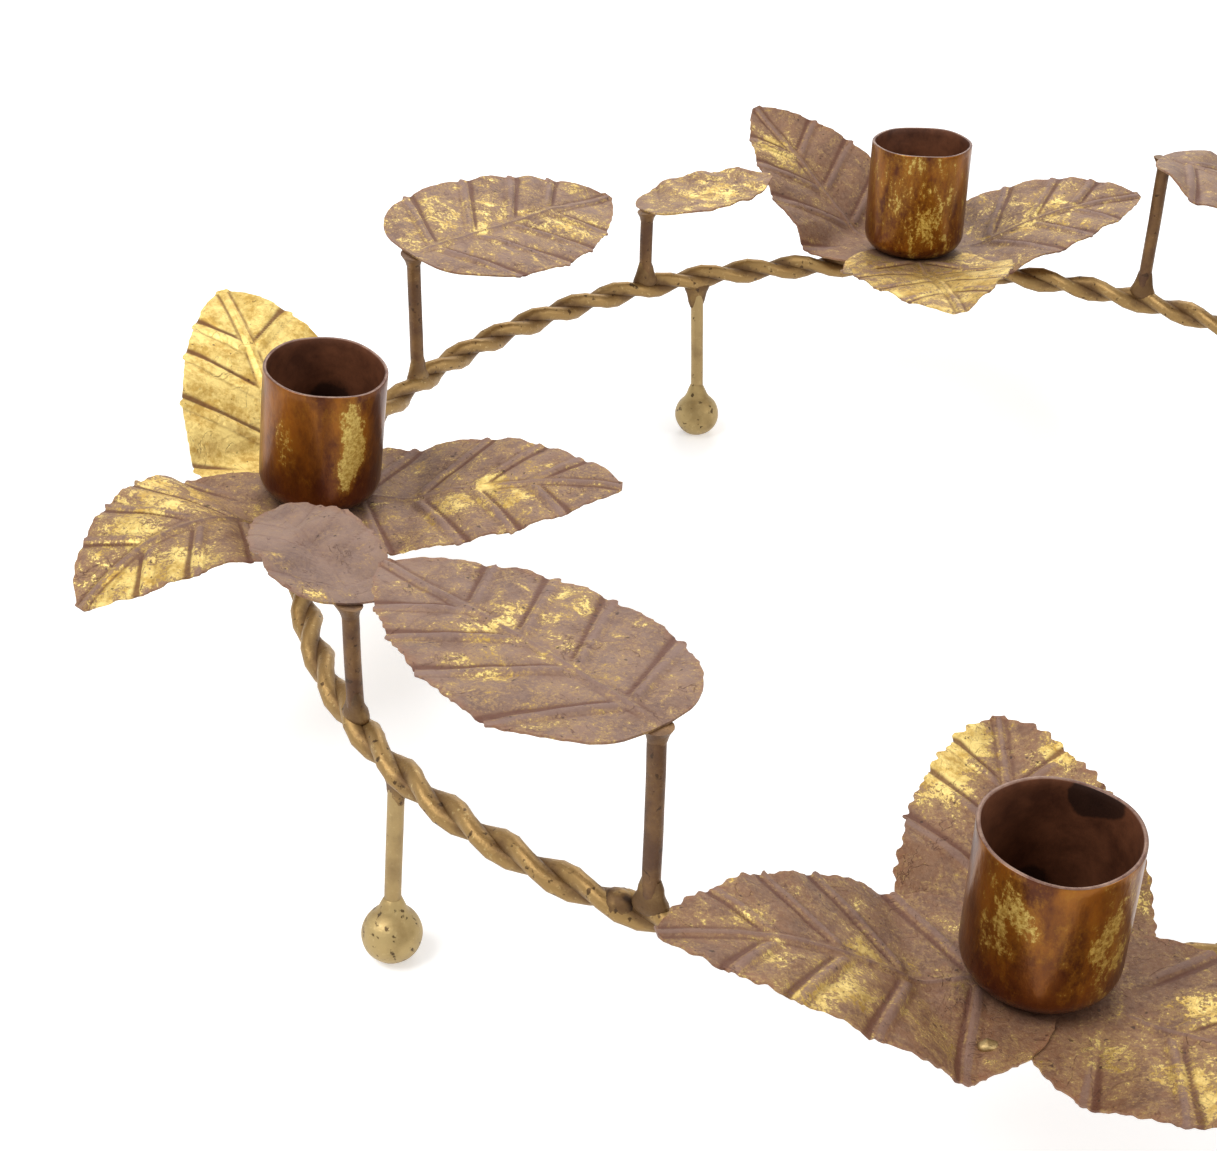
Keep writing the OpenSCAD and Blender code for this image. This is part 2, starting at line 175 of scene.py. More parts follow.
# How each leaf is finished: the share of gold leaf all over, how brown the
# ground is, how deep the teeth are cut, and where gold lies thick, as spots
# with their place along and to the left of the midrib, radius and amount
FINISH = {
    "rosette_front_1": (0.05, 0.9, 1.5, [(55, 7, 6, 0.75), (46, 12, 6, 0.75), (52, -9, 4, 0.65),
                        (40, -14, 5, 0.35), (22, -17, 5, 0.3)]),
    "rosette_front_2": (0.07, 1.2, 1.2, [(23, 6, 4, 0.5), (16, -9, 5, 0.35), (26, -8, 5, 0.4),
                        (33, -12, 6, 0.4), (45, 3, 9, 0.3), (30, 8, 6, 0.3)]),
    "rosette_front_3": (0.12, 0.9, 1.2, [(38, 9, 4.5, 0.5), (44, 13, 3, 0.45), (28, -3.5, 4, 0.4),
                        (34, 4, 3, 0.3), (22, 12, 5, 0.2), (47, 4, 3, 0.35), (48, -4, 3, 0.35)]),
    "rosette_left_1": (1.0, 0.5, 0.2, [(30, 0, 22, 0.2), (50, 6, 8, 0.2)]),
    "rosette_left_2": (0.19, 0.5, 0.7, [(45, 10, 5, 0.5), (55, 5, 6, 0.5), (30, -12, 9, 0.4),
                       (44, -6, 6, 0.35)]),
    "rosette_left_3": (0.18, 0.2, 0.6, [(36, 0.5, 3, 0.7), (30, -6, 4, 0.4), (38, -6, 3, 0.35),
                       (43, -5, 4, 0.3)]),
    "rosette_back_1": (0.08, 0.7, 0.25, [(49, 5, 5.5, 0.6), (38, 3, 5, 0.2)]),
    "rosette_back_2": (0.2, 0.2, 0.25, [(38, 0, 10, 0.2)]),
    "rosette_back_3": (0.42, 0.2, 0.2, [(40, 5, 14, 0.25)]),
    "rosette_right_1": (0.12, 0.4, 0.7, [(44, 4, 8, 0.4), (28, -8, 6, 0.3)]),
    "rosette_right_2": (0.15, 0.3, 0.7, [(32, -4, 9, 0.35), (48, 5, 6, 0.35)]),
    "rosette_right_3": (0.1, 0.5, 0.7, [(46, 5, 7, 0.4), (30, 7, 5, 0.35)]),
    "leaf_front_tall": (0.1, 0.15, 0.8, [(27, 10, 5, 0.28), (35, 3, 4.5, 0.3), (23, -3, 4, 0.22),
                        (37, -3, 4, 0.26), (32, -14, 4, 0.25), (12, 13, 3.5, 0.25), (40, 12, 2, 0.25),
                        (33, -7, 5, 0.15)]),
    "leaf_left_short": (-0.06, -0.4, 0.5, [(3, 6, 3, 0.4), (13, 9, 2, 0.35)]),
    "leaf_left_tall": (0.2, 0.2, 0.2, [(42, -7, 7, 0.25), (15, 8, 8, 0.2), (30, 6, 7, 0.15)]),
    "leaf_back_short": (0.26, 0.3, 0.2, [(18, -3, 8, 0.25)]),
    "leaf_back_tall": (0.12, 0.2, 0.4, [(26, 5, 9, 0.3)]),
    "leaf_right_short": (0.12, 0.2, 0.6, [(18, 2, 6, 0.3)]),
    "leaf_right_tall": (0.12, 0.3, 0.7, [(38, 4, 8, 0.35), (24, -8, 6, 0.3)]),
    "leaf_front_short": (0.1, 0.2, 0.6, [(18, -3, 6, 0.3)]),
}
# The same on the cups: own amount, then spots at an angle and a height
CUP_GILDING = {
    "front": (0.04, [(318, 12, 7, 0.3), (300, 7, 5, 0.15), (226, 20, 4.5, 0.32), (240, 17, 3, 0.28),
                     (214, 12, 4, 0.25), (292, 16, 4, 0.2), (303, 20, 3, 0.25)]),
    "left": (-0.1, [(302, 25, 2.4, 0.6), (306, 19, 3.0, 0.75), (306, 13, 3.0, 0.75), (300, 9, 2.4, 0.5),
                   (238, 17, 3, 0.4), (243, 12, 2.5, 0.3), (240, 23, 2.5, 0.3), (270, 24, 2.5, 0.25)]),
    "back": (0.2, [(280, 8, 7, 0.25), (250, 20, 5, 0.15)]),
    "right": (0.05, [(230, 15, 5, 0.4), (300, 18, 4, 0.3)]),
}
# Dark stains inside a cup, by angle, height and radius. Then what a hand-cut
# cup stands over the others, and how its rim runs: its mean, then the cosine
# and sine of one and of two waves round it, in mm
CUP_STAINS = {"front": [(62, 24, 3.0), (46, 26, 4.0), (100, 4, 7.0)], "left": [(90, 12, 7.0)]}
CUP_OVER = {"front": 0.0, "left": 1.5, "back": 0.0, "right": 0.0}
CUP_RIMS = {
    "front": (0.0, (-0.05, 0.15), (0.15, -0.1)),
    "left": (-0.55, (-0.1, 0.2), (-0.25, 0.1)),
    "back": (0.2, (0.1, 0.1), (0.0, 0.1)),
    "right": (0.0, (0.1, -0.1), (0.15, 0.1)),
}


def cosd(angle):
    return math.cos(math.radians(angle))


def sind(angle):
    return math.sin(math.radians(angle))


def smooth(value, low, high):
    share = min(1.0, max(0.0, (value - low) / (high - low)))
    return share * share * (3 - 2 * share)


def ring_at(angle):
    return RING_R * (1 + RING_OVAL * cosd(2 * (angle - OVAL_AT)))


def on_ring(angle, out=0.0, height=0.0):
    reach = ring_at(angle) + out
    return Vector((reach * cosd(angle), reach * sind(angle), RING_H + height))


# Materials

# Kinds of node and their settings that come up often
MATH = "ShaderNodeMath"
RANGE = "ShaderNodeMapRange"
BLEND = "ShaderNodeMix"
CLOUDS = "ShaderNodeTexNoise"
IN_COLOUR = {"data_type": "RGBA"}
TIMES_PLUS = {"operation": "MULTIPLY_ADD"}
TIMES = {"operation": "MULTIPLY"}
SOFTLY = {"interpolation_type": "SMOOTHSTEP"}


def linear(colour):
    """A #rrggbb colour as the linear RGBA that sockets take."""
    shares = [int(colour[i:i + 2], 16) / 255 for i in (1, 3, 5)]
    return [s / 12.92 if s <= 0.04045 else ((s + 0.055) / 1.055) ** 2.4 for s in shares] + [1.0]


def add(tree, kind, settings=None, inputs=None):
    """Adds a node, sets what it is and sets or links its inputs."""
    made = tree.nodes.new(kind)
    for name, value in (settings or {}).items():
        setattr(made, name, value)
    for name, value in (inputs or {}).items():
        if isinstance(value, bpy.types.NodeSocket):
            tree.links.new(value, made.inputs[name])
        else:
            made.inputs[name].default_value = value
    return made


def size_mm(size):
    """Scale of a pattern whose features are so many millimetres wide."""
    return 1 / (size * MM)


def new_material(name):
    material = bpy.data.materials.new(name)
    material.use_nodes = True
    tree = material.node_tree
    tree.nodes.clear()
    return material, tree


def finish_material(tree, settings, height, depth_mm):
    """Principled shader with a bump of so many millimetres, to the output."""
    bump = add(tree, "ShaderNodeBump", inputs={"Strength": 1.0, "Distance": depth_mm * MM, "Height": height})
    shader = add(tree, "ShaderNodeBsdfPrincipled", inputs={**settings, "Normal": bump.outputs[0]})
    add(tree, "ShaderNodeOutputMaterial", inputs={"Surface": shader.outputs[0]})


def gilded_leaf_sheet():
    """Brass sheet, chemically browned and then rubbed with loose gold leaf:
    a matte mauve to brown ground, smooth mauve ribs, and gold in the fields
    between them as fine dust that closes up to ragged bright patches."""
    material, t = new_material("patinated_brass_sheet_with_gold_leaf")
    place = add(t, "ShaderNodeTexCoord").outputs["Object"]
    # The last attribute marks the painted shade round a cup's foot
    press, rim, gilt, brown, cup_foot_shade = [
        add(t, "ShaderNodeAttribute", {"attribute_name": name}).outputs["Fac"]
        for name in ("press", "rim", "gilt", "brown", "cup_foot_shade")]
    broad, cloud, flake, fine, grain, crease, spatter, wrinkle = [
        add(t, CLOUDS, inputs={"Vector": place, "Scale": size_mm(size), "Detail": detail,
                               "Roughness": rough, "Distortion": swirl}).outputs[0]
        for size, detail, rough, swirl in (
            (15, 3.0, 0.6, 0.0), (5, 6.0, 0.65, 0.0), (3.8, 9.0, 0.7, 0.6), (0.55, 4.0, 0.75, 0.0),
            (0.9, 4.0, 0.7, 0.0), (2.4, 5.0, 0.65, 0.8), (1.3, 2.0, 0.5, 0.0), (9, 4.0, 0.5, 1.5))]

    # The browned ground: mauve or brown with dark stains, redder along the
    # edge, mottled all over and grey on the ribs
    tone = add(t, RANGE, inputs={"Value": broad, "From Min": 0.38, "From Max": 0.62})
    ground = add(t, BLEND, IN_COLOUR, {0: tone.outputs[0], 6: linear("#6f544b"), 7: linear("#927668")})
    tanned = add(t, MATH, TIMES_PLUS, {0: cloud, 1: 1.6, 2: -0.75})
    tanned = add(t, MATH, {"operation": "ADD", "use_clamp": True}, {0: tanned.outputs[0], 1: brown})
    tanned = add(t, MATH, TIMES, {0: tanned.outputs[0], 1: 0.72})
    dark = add(t, RANGE, inputs={"Value": cloud, "From Min": 0.53, "From Max": 0.4, "To Max": 0.6})
    dark = add(t, MATH, {"operation": "MULTIPLY", "use_clamp": True}, {0: dark.outputs[0], 1: brown})
    worn = add(t, MATH, TIMES, {0: rim, 1: cloud})
    copper = add(t, RANGE, inputs={"Value": worn.outputs[0], "From Min": 0.3, "From Max": 0.65,
                                   "To Max": 0.55})
    mottle = add(t, RANGE, inputs={"Value": grain, "From Min": 0.36, "From Max": 0.64, "To Max": 0.36})
    rib = add(t, RANGE, SOFTLY, {"Value": press, "From Min": 0.15, "From Max": 0.75})
    ribbed = add(t, MATH, TIMES, {0: rib.outputs[0], 1: 0.55})
    for share, colour in ((tanned, "#835630"), (dark, "#5d3a2b"), (copper, "#9a6340"),
                          (mottle, "#a8886a"), (ribbed, "#8a6e63")):
        ground = add(t, BLEND, IN_COLOUR,
                     {0: share.outputs[0], 6: ground.outputs[2], 7: linear(colour)})

    # How much gold lies at a point, less on the ribs and in the painted shade
    # round the cup's foot. It is a haze first, then dust, then closed gold leaf
    amount = add(t, MATH, TIMES_PLUS, {0: rib.outputs[0], 1: -0.16, 2: gilt})
    amount = add(t, MATH, TIMES_PLUS, {0: cup_foot_shade, 1: -0.3, 2: amount.outputs[0]})
    amount = add(t, MATH, TIMES_PLUS, {0: flake, 1: 1.9, 2: amount.outputs[0]})
    speckled = add(t, MATH, TIMES_PLUS, {0: fine, 1: 1.6, 2: amount.outputs[0]})
    haze, dust, gold = [
        add(t, RANGE, SOFTLY, {"Value": lying.outputs[0], "From Min": start, "From Max": full,
                               "To Max": most})
        for lying, start, full, most in (
            (amount, 0.95, 1.5, 0.4), (speckled, 1.84, 2.06, 0.5), (speckled, 2.15, 2.22, 0.95))]
    shine = add(t, MATH, TIMES_PLUS, {0: grain, 1: 0.5, 2: cloud})
    shine = add(t, RANGE, inputs={"Value": shine.outputs[0], "From Min": 0.62, "From Max": 0.84})
    leafing = add(t, BLEND, IN_COLOUR, {0: shine.outputs[0], 6: linear("#bf9b4e"), 7: linear("#edd283")})

    # Painted shade in red-brown in the grooves beside the ribs, wrinkles as
    # broken fine lines, painted shade round the cup's foot, and spatter
    groove = add(t, RANGE, SOFTLY, {"Value": press, "From Min": -0.05, "From Max": -0.8, "To Max": 0.85})
    line = add(t, MATH, {"operation": "SUBTRACT"}, {0: wrinkle, 1: 0.5})
    line = add(t, MATH, {"operation": "ABSOLUTE"}, {0: line.outputs[0]})
    line = add(t, RANGE, inputs={"Value": line.outputs[0], "From Min": 0.0, "From Max": 0.009,
                                 "To Min": 0.65, "To Max": 0.0})
    broken = add(t, RANGE, inputs={"Value": cloud, "From Min": 0.48, "From Max": 0.58})
    line = add(t, MATH, TIMES, {0: line.outputs[0], 1: broken.outputs[0]})
    # Painted shade round the cup's foot
    cup_shade = add(t, MATH, TIMES, {0: cup_foot_shade, 1: 0.8})
    speck = add(t, RANGE, inputs={"Value": spatter, "From Min": 0.69, "From Max": 0.73, "To Max": 0.75})
    skin = ground
    for share, colour in ((haze, linear("#a07f5b")), (dust, linear("#b6925e")), (gold, leafing.outputs[2]),
                          (groove, linear("#643b2a")), (line, linear("#5a3427")),
                          (cup_shade, linear("#46291f")), (speck, linear("#3a241b"))):
        skin = add(t, BLEND, IN_COLOUR, {0: share.outputs[0], 6: skin.outputs[2], 7: colour})

    metal = add(t, RANGE, inputs={"Value": gold.outputs[0], "To Min": 0.3, "To Max": 0.9})
    rough = add(t, RANGE, inputs={"Value": gold.outputs[0], "To Min": 0.55, "To Max": 0.42})
    relief = add(t, MATH, TIMES_PLUS, {0: gold.outputs[0], 1: 0.25, 2: fine})
    relief = add(t, MATH, TIMES_PLUS, {0: line.outputs[0], 1: -1.2, 2: relief.outputs[0]})
    relief = add(t, MATH, TIMES_PLUS, {0: crease, 1: 2.2, 2: relief.outputs[0]})
    finish_material(t, {"Base Color": skin.outputs[2], "Metallic": metal.outputs[0],
                        "Roughness": rough.outputs[0]}, relief.outputs[0], 0.12)
    return material


def gilded_wire(name, hollow_and_groove_shade, ground, crest, shine, specks_from):
    """Steel wire, bronze-painted and rubbed with gold: brown stays in the
    hollows and round the solder, and the crests shine with bright grain. On
    the twisted ring the hollows are the groove between the wires, so there
    the brown is also painted shade, and the lighter crests and their bright
    grain are also painted highlights. Satin, with specks."""
    material, t = new_material(name)
    place = add(t, "ShaderNodeTexCoord").outputs["Object"]
    press = add(t, "ShaderNodeAttribute", {"attribute_name": "press"}).outputs["Fac"]
    cloud, grain, spatter = [
        add(t, CLOUDS, inputs={"Vector": place, "Scale": size_mm(size), "Detail": detail,
                               "Roughness": rough}).outputs[0]
        for size, detail, rough in ((6, 6.0, 0.65), (0.9, 5.0, 0.7), (1.6, 3.0, 0.5))]
    # press marks crests high and hollows low: on the twisted ring this paints shade into the groove between
    # the wires and highlight onto the crests
    high = add(t, MATH, TIMES_PLUS, {0: cloud, 1: 1.4, 2: press})
    rubbed = add(t, RANGE, SOFTLY, {"Value": high.outputs[0], "From Min": 0.6, "From Max": 1.3})
    low = add(t, RANGE, SOFTLY, {"Value": high.outputs[0], "From Min": 0.62, "From Max": 0.1})
    bright = add(t, RANGE, inputs={"Value": grain, "From Min": 0.58, "From Max": 0.72, "To Max": 0.6})
    bright = add(t, MATH, TIMES, {0: bright.outputs[0], 1: rubbed.outputs[0]})
    speck = add(t, RANGE, inputs={"Value": spatter, "From Min": specks_from,
                                  "From Max": specks_from + 0.05, "To Max": 0.85})
    skin = add(t, BLEND, IN_COLOUR, {0: rubbed.outputs[0], 6: linear(ground), 7: linear(crest)})
    for share, colour in ((low, hollow_and_groove_shade), (bright, shine), (speck, "#3f2a16")):
        skin = add(t, BLEND, IN_COLOUR, {0: share.outputs[0], 6: skin.outputs[2], 7: linear(colour)})
    rough = add(t, RANGE, inputs={"Value": rubbed.outputs[0], "To Min": 0.55, "To Max": 0.43})
    metal = add(t, RANGE, inputs={"Value": rubbed.outputs[0], "To Min": 0.45, "To Max": 0.75})
    relief = add(t, MATH, TIMES_PLUS, {0: cloud, 1: 1.5, 2: grain})
    finish_material(t, {"Base Color": skin.outputs[2], "Metallic": metal.outputs[0],
                        "Roughness": rough.outputs[0]}, relief.outputs[0], 0.12)
    return material


def amber_lacquer():
    """Steel cup under amber-brown lacquer: glossy, redder and darker towards
    its foot, with gold leaf rubbed on in small upright patches."""
    material, t = new_material("amber_lacquered_steel_with_gold_leaf")
    place = add(t, "ShaderNodeTexCoord").outputs["Object"]
    gilt, up = [add(t, "ShaderNodeAttribute", {"attribute_name": name}).outputs["Fac"]
                for name in ("gilt", "up")]
    drawn = add(t, "ShaderNodeMapping", inputs={"Vector": place, "Scale": (1.0, 1.0, 0.5)}).outputs[0]
    run, streak, grain = [
        add(t, CLOUDS, inputs={"Vector": where, "Scale": size_mm(size), "Detail": detail,
                               "Roughness": rough}).outputs[0]
        for where, size, detail, rough in (
            (drawn, 7, 6.0, 0.62), (drawn, 2.6, 8.0, 0.72), (place, 0.7, 4.0, 0.7))]
    tone = add(t, RANGE, inputs={"Value": run, "From Min": 0.4, "From Max": 0.6})
    body = add(t, BLEND, IN_COLOUR, {0: tone.outputs[0], 6: linear("#51260b"), 7: linear("#8a5212")})
    foot = add(t, RANGE, SOFTLY, {"Value": up, "From Min": 0.6, "From Max": 0.0, "To Max": 0.7})
    amount = add(t, MATH, TIMES_PLUS, {0: grain, 1: 0.3, 2: streak})
    amount = add(t, MATH, TIMES_PLUS, {0: gilt, 1: 0.5, 2: amount.outputs[0]})
    thin, thick = [
        add(t, RANGE, SOFTLY, {"Value": amount.outputs[0], "From Min": start, "From Max": full,
                               "To Max": most})
        for start, full, most in ((0.66, 0.9, 0.65), (0.84, 0.95, 0.9))]
    patch = add(t, RANGE, inputs={"Value": grain, "From Min": 0.4, "From Max": 0.62})
    leafing = add(t, BLEND, IN_COLOUR, {0: patch.outputs[0], 6: linear("#a5843a"), 7: linear("#d8c06c")})
    skin = body
    for share, colour in ((foot, linear("#53200c")), (thin, linear("#966418")), (thick, leafing.outputs[2])):
        skin = add(t, BLEND, IN_COLOUR, {0: share.outputs[0], 6: skin.outputs[2], 7: colour})
    rough = add(t, RANGE, inputs={"Value": thick.outputs[0], "To Min": 0.32, "To Max": 0.45})
    finish_material(t, {"Base Color": skin.outputs[2], "Metallic": 0.8, "Roughness": rough.outputs[0],
                        "Coat Weight": 0.12, "Coat Roughness": 0.16}, run, 0.3)
    return material


def cup_inside():
    """The same lacquer inside the cup, sooty: near-black brown with lighter
    brown rubbed through, hardly any shine, and darker still where stained."""
    material, t = new_material("sooted_lacquer")
    place = add(t, "ShaderNodeTexCoord").outputs["Object"]
    soot = add(t, CLOUDS, inputs={"Vector": place, "Scale": size_mm(6), "Detail": 6.0, "Roughness": 0.65})
    tone = add(t, RANGE, inputs={"Value": soot.outputs[0], "From Min": 0.35, "From Max": 0.65})
    skin = add(t, BLEND, IN_COLOUR, {0: tone.outputs[0], 6: linear("#4f2b1a"), 7: linear("#7a4a30")})
    stain = add(t, "ShaderNodeAttribute", {"attribute_name": "stain"}).outputs["Fac"]
    edged = add(t, MATH, TIMES_PLUS, {0: soot.outputs[0], 1: 0.9, 2: stain})
    stained = add(t, RANGE, SOFTLY, {"Value": edged.outputs[0], "From Min": 0.85, "From Max": 1.05,
                                     "To Max": 0.85})
    skin = add(t, BLEND, IN_COLOUR, {0: stained.outputs[0], 6: skin.outputs[2], 7: linear("#1f0f0a")})
    finish_material(t, {"Base Color": skin.outputs[2], "Metallic": 0.2, "Roughness": 0.5},
                    soot.outputs[0], 0.15)
    return material


def cup_rim():
    """The cup's cut edge: bare steel gone dull mauve-brown."""
    material, t = new_material("dulled_steel_edge")
    place = add(t, "ShaderNodeTexCoord").outputs["Object"]
    wear = add(t, CLOUDS, inputs={"Vector": place, "Scale": size_mm(3), "Detail": 5.0, "Roughness": 0.7})
    tone = add(t, RANGE, inputs={"Value": wear.outputs[0], "From Min": 0.35, "From Max": 0.65})
    skin = add(t, BLEND, IN_COLOUR, {0: tone.outputs[0], 6: linear("#5c392e"), 7: linear("#927564")})
    finish_material(t, {"Base Color": skin.outputs[2], "Metallic": 0.5, "Roughness": 0.42},
                    wear.outputs[0], 0.08)
    return material


LEAF_FINISH = gilded_leaf_sheet()
# On the ring the hollow colour is partly painted shade in the groove between the wires, and the crest and
# shine colours are partly painted highlight
WIRE_FINISH = gilded_wire("gold_rubbed_steel_wire", "#37230f", "#674a28", "#9b7c4c", "#dcc48a", 0.64)
LEG_FINISH = gilded_wire("cream_gold_steel_wire", "#6b5130", "#8a7048", "#a88f61", "#c6ae7c", 0.66)
POST_FINISH = gilded_wire("bronzed_steel_wire", "#341f12", "#573a25", "#7d5d39", "#a9885c", 0.62)
FOOT_FINISH = gilded_wire("cream_gold_steel_ball", "#6e532e", "#917849", "#b39b69", "#cfb985", 0.6)
CUP_FINISH = amber_lacquer()
CUP_INSIDE = cup_inside()
CUP_RIM = cup_rim()


# Making pieces


def begin(name):
    """Names the piece that was just added or joined, and returns it."""
    piece = bpy.context.object
    piece.name = piece.data.name = name
    return piece


def nothing_selected():
    bpy.ops.object.select_all(action="DESELECT")


def apply_modifier(piece, kind, **settings):
    modifier = piece.modifiers.new(kind.lower(), kind)
    for name, value in settings.items():
        setattr(modifier, name, value)
    nothing_selected()
    piece.select_set(True)
    bpy.context.view_layer.objects.active = piece
    bpy.ops.object.modifier_apply(modifier=modifier.name)


def select_edit(piece, kind, wanted):
    """In edit mode, selects only the edges or faces that are wanted."""
    bpy.ops.mesh.select_mode(type=kind)
    bpy.ops.mesh.select_all(action="DESELECT")
    mesh = bmesh.from_edit_mesh(piece.data)
    for element in mesh.edges if kind == "EDGE" else mesh.faces:
        element.select_set(wanted(element))
    mesh.select_flush_mode()
    bmesh.update_edit_mesh(piece.data)


def keep_smooth(piece, angle):
    nothing_selected()
    piece.select_set(True)
    bpy.context.view_layer.objects.active = piece
    bpy.ops.object.shade_smooth_by_angle(angle=math.radians(angle))
    piece.select_set(False)


def set_points(piece, place):
    """Moves each point of a piece, in millimetres."""
    for vertex in piece.data.vertices:
        vertex.co = place(vertex.co / MM) * MM
    piece.data.update()


def mark(piece, name, values):
    """Keeps one number for each point, for the materials to read."""
    attribute = piece.data.attributes.get(name) or piece.data.attributes.new(name, "FLOAT", "POINT")
    attribute.data.foreach_set("value", values)


def blotch(piece, mean, more, size):
    """How rubbed a plain piece is, in soft blotches of so many millimetres."""
    points = piece.data.vertices
    mark(piece, "press", [mean + more * noise.noise(point.co / MM / size) for point in points])


def dress(piece, slot, finish, *nodes):
    piece.data.materials.clear()
    piece.data.materials.append(finish)
    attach(piece, "root")
    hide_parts(*nodes)


def copied(piece, name):
    twin = bpy.data.objects.new(name, piece.data.copy())
    twin.data.name = name
    bpy.context.scene.collection.objects.link(twin)
    return twin


def drop(piece):
    mesh = piece.data
    bpy.data.objects.remove(piece)
    bpy.data.meshes.remove(mesh)


# Leaves


def outline(share):
    """Half width of a leaf at a share of its length, 1 at its widest."""
    widest = STEM_POWER / (STEM_POWER + TIP_POWER)
    return (share / widest) ** STEM_POWER * ((1 - share) / (1 - widest)) ** TIP_POWER


def tooth(turn):
    """Height of the saw-toothed edge at a share of one tooth."""
    return turn / TOOTH_LEAD if turn < TOOTH_LEAD else (1 - turn) / (1 - TOOTH_LEAD)


def pressed(along, off, length, half, shift):
    """The relief that the die pressed into the sheet: its height in mm, and
    a share of it from -1 in a groove to 1 on a rib. The side veins are round
    ribs between narrow grooves, of which the one towards the tip is deeper
    and widens to the edge, and the fields between the veins swell."""
    scale = length / LARGE_LEAF[0]
    strength = scale ** 2
    along, aside, half = along / scale - shift, abs(off) / scale, half / scale
    towards_edge = smooth(aside, 0.45 * half, 0.95 * half)
    wide = GROOVE_W + 0.35 * towards_edge
    slants = [(start, left if off > 0 else right) for start, left, right in VEINS]
    gaps = [(along - start - slant * aside) / math.hypot(1, slant) for start, slant in slants]
    off_midrib = smooth(aside, 0.6, 2.4)
    rib = off_midrib * max(math.exp(-abs(gap / RIB_W) ** 3) for gap in gaps)
    groove = off_midrib * max(max(math.exp(-((gap - GROOVE_AT) / wide) ** 2),
                                  0.4 * math.exp(-((gap + GROOVE_AT) / GROOVE_W) ** 2)) for gap in gaps)
    middle = math.exp(-abs(aside / MIDRIB_W) ** 3)
    beside = 0.6 * math.exp(-((aside - 1.2) / 0.5) ** 2) * (1 - rib)
    field = smooth(min(abs(gap) for gap in gaps), 1.3, 5.0) * smooth(aside, 1.2, 6)
    height = max((RIB_H - 0.45 * towards_edge) * rib, MIDRIB_H * middle)
    height += (FIELD_H + 0.15 * towards_edge) * field - GROOVE_DEPTH * max(groove, beside)
    return height * strength, (max(rib, middle) - max(groove, beside)) * min(1.0, strength + 0.15)


def leaf_blank(name, size, columns):
    """A leaf as it is cut out: flat, with its teeth. It starts as a grid,
    whose points are laid out along the outline."""
    length, width = size
    per_tooth = 6
    teeth_band = 0.14
    teeth = round(EDGE_STRETCH * length / TOOTH_L)
    rows = teeth * per_tooth
    nothing_selected()
    bpy.ops.mesh.primitive_grid_add(x_subdivisions=rows, y_subdivisions=columns, size=1)
    blank = begin(name)
    wobble = [noise.noise(Vector((k * 1.7, length, 0.5))) for k in range(2 * teeth + 4)]
    cuts = []

    def lay_out(point):
        row = round((point.x * MM + 0.5) * rows)
        share = {0: 0.0005, rows: 0.9985}.get(row, 0.004 + 0.99 * row / rows)
        across = 2 * point.y * MM
        turn = row % per_tooth / per_tooth
        k = row // per_tooth + (teeth if across > 0 else 0)
        half = outline(share) * width / 2
        ease = smooth(share, 0.0, 0.05) * (1 - smooth(share, 0.965, 0.995)) * (0.45 + 0.65 * share)
        edge = max(0.0, (abs(across) - (1 - teeth_band)) / teeth_band)
        cuts.append(TOOTH_DEPTH * (1 + 0.9 * wobble[k]) * tooth(turn) * ease * edge)
        return Vector((share * length, across * half, 0))

    set_points(blank, lay_out)
    mark(blank, "cut", cuts)
    apply_modifier(blank, "SOLIDIFY", thickness=SHEET_T * MM, offset=1.0, use_even_offset=True)
    return blank


def arc(run, rate, start):
    """Displacement along an arc of so many degrees per mm."""
    if abs(rate) < 0.001:
        return run * cosd(start), run * sind(start)
    radius = 180 / (math.pi * rate)
    end = start + rate * run
    return radius * (sind(end) - sind(start)), radius * (cosd(start) - cosd(end))


def midrib(run, flat, crease, curl):
    sharp = crease / CREASE_L + curl
    past = run - flat
    if past <= 0:
        return run, 0.0, 0.0
    if past < CREASE_L:
        along, up = arc(past, sharp, 0)
        return flat + along, up, sharp * past
    along, up = arc(CREASE_L, sharp, 0)
    more, rise = arc(past - CREASE_L, curl, sharp * CREASE_L)
    return flat + along + more, up + rise, sharp * CREASE_L + curl * (past - CREASE_L)


def bent(run, off, rise, flat, pose):
    """Where a point of the blank goes when the leaf is bent by hand."""
    crease, curl, fold, twist = pose
    past = max(0.0, run - flat)
    lift_angle = fold * min(1.0, past / FOLD_L)
    turn = twist * past
    along, up, slope = midrib(run, flat, crease, curl)
    wing = math.sqrt(off * off + 1) - 1
    side = off * cosd(lift_angle) - math.tanh(off) * rise * sind(lift_angle)
    lift = wing * sind(lift_angle) + rise * cosd(lift_angle)
    side, lift = side * cosd(turn) - lift * sind(turn), side * sind(turn) + lift * cosd(turn)
    return Vector((along - lift * sind(slope), side, up + lift * cosd(slope)))


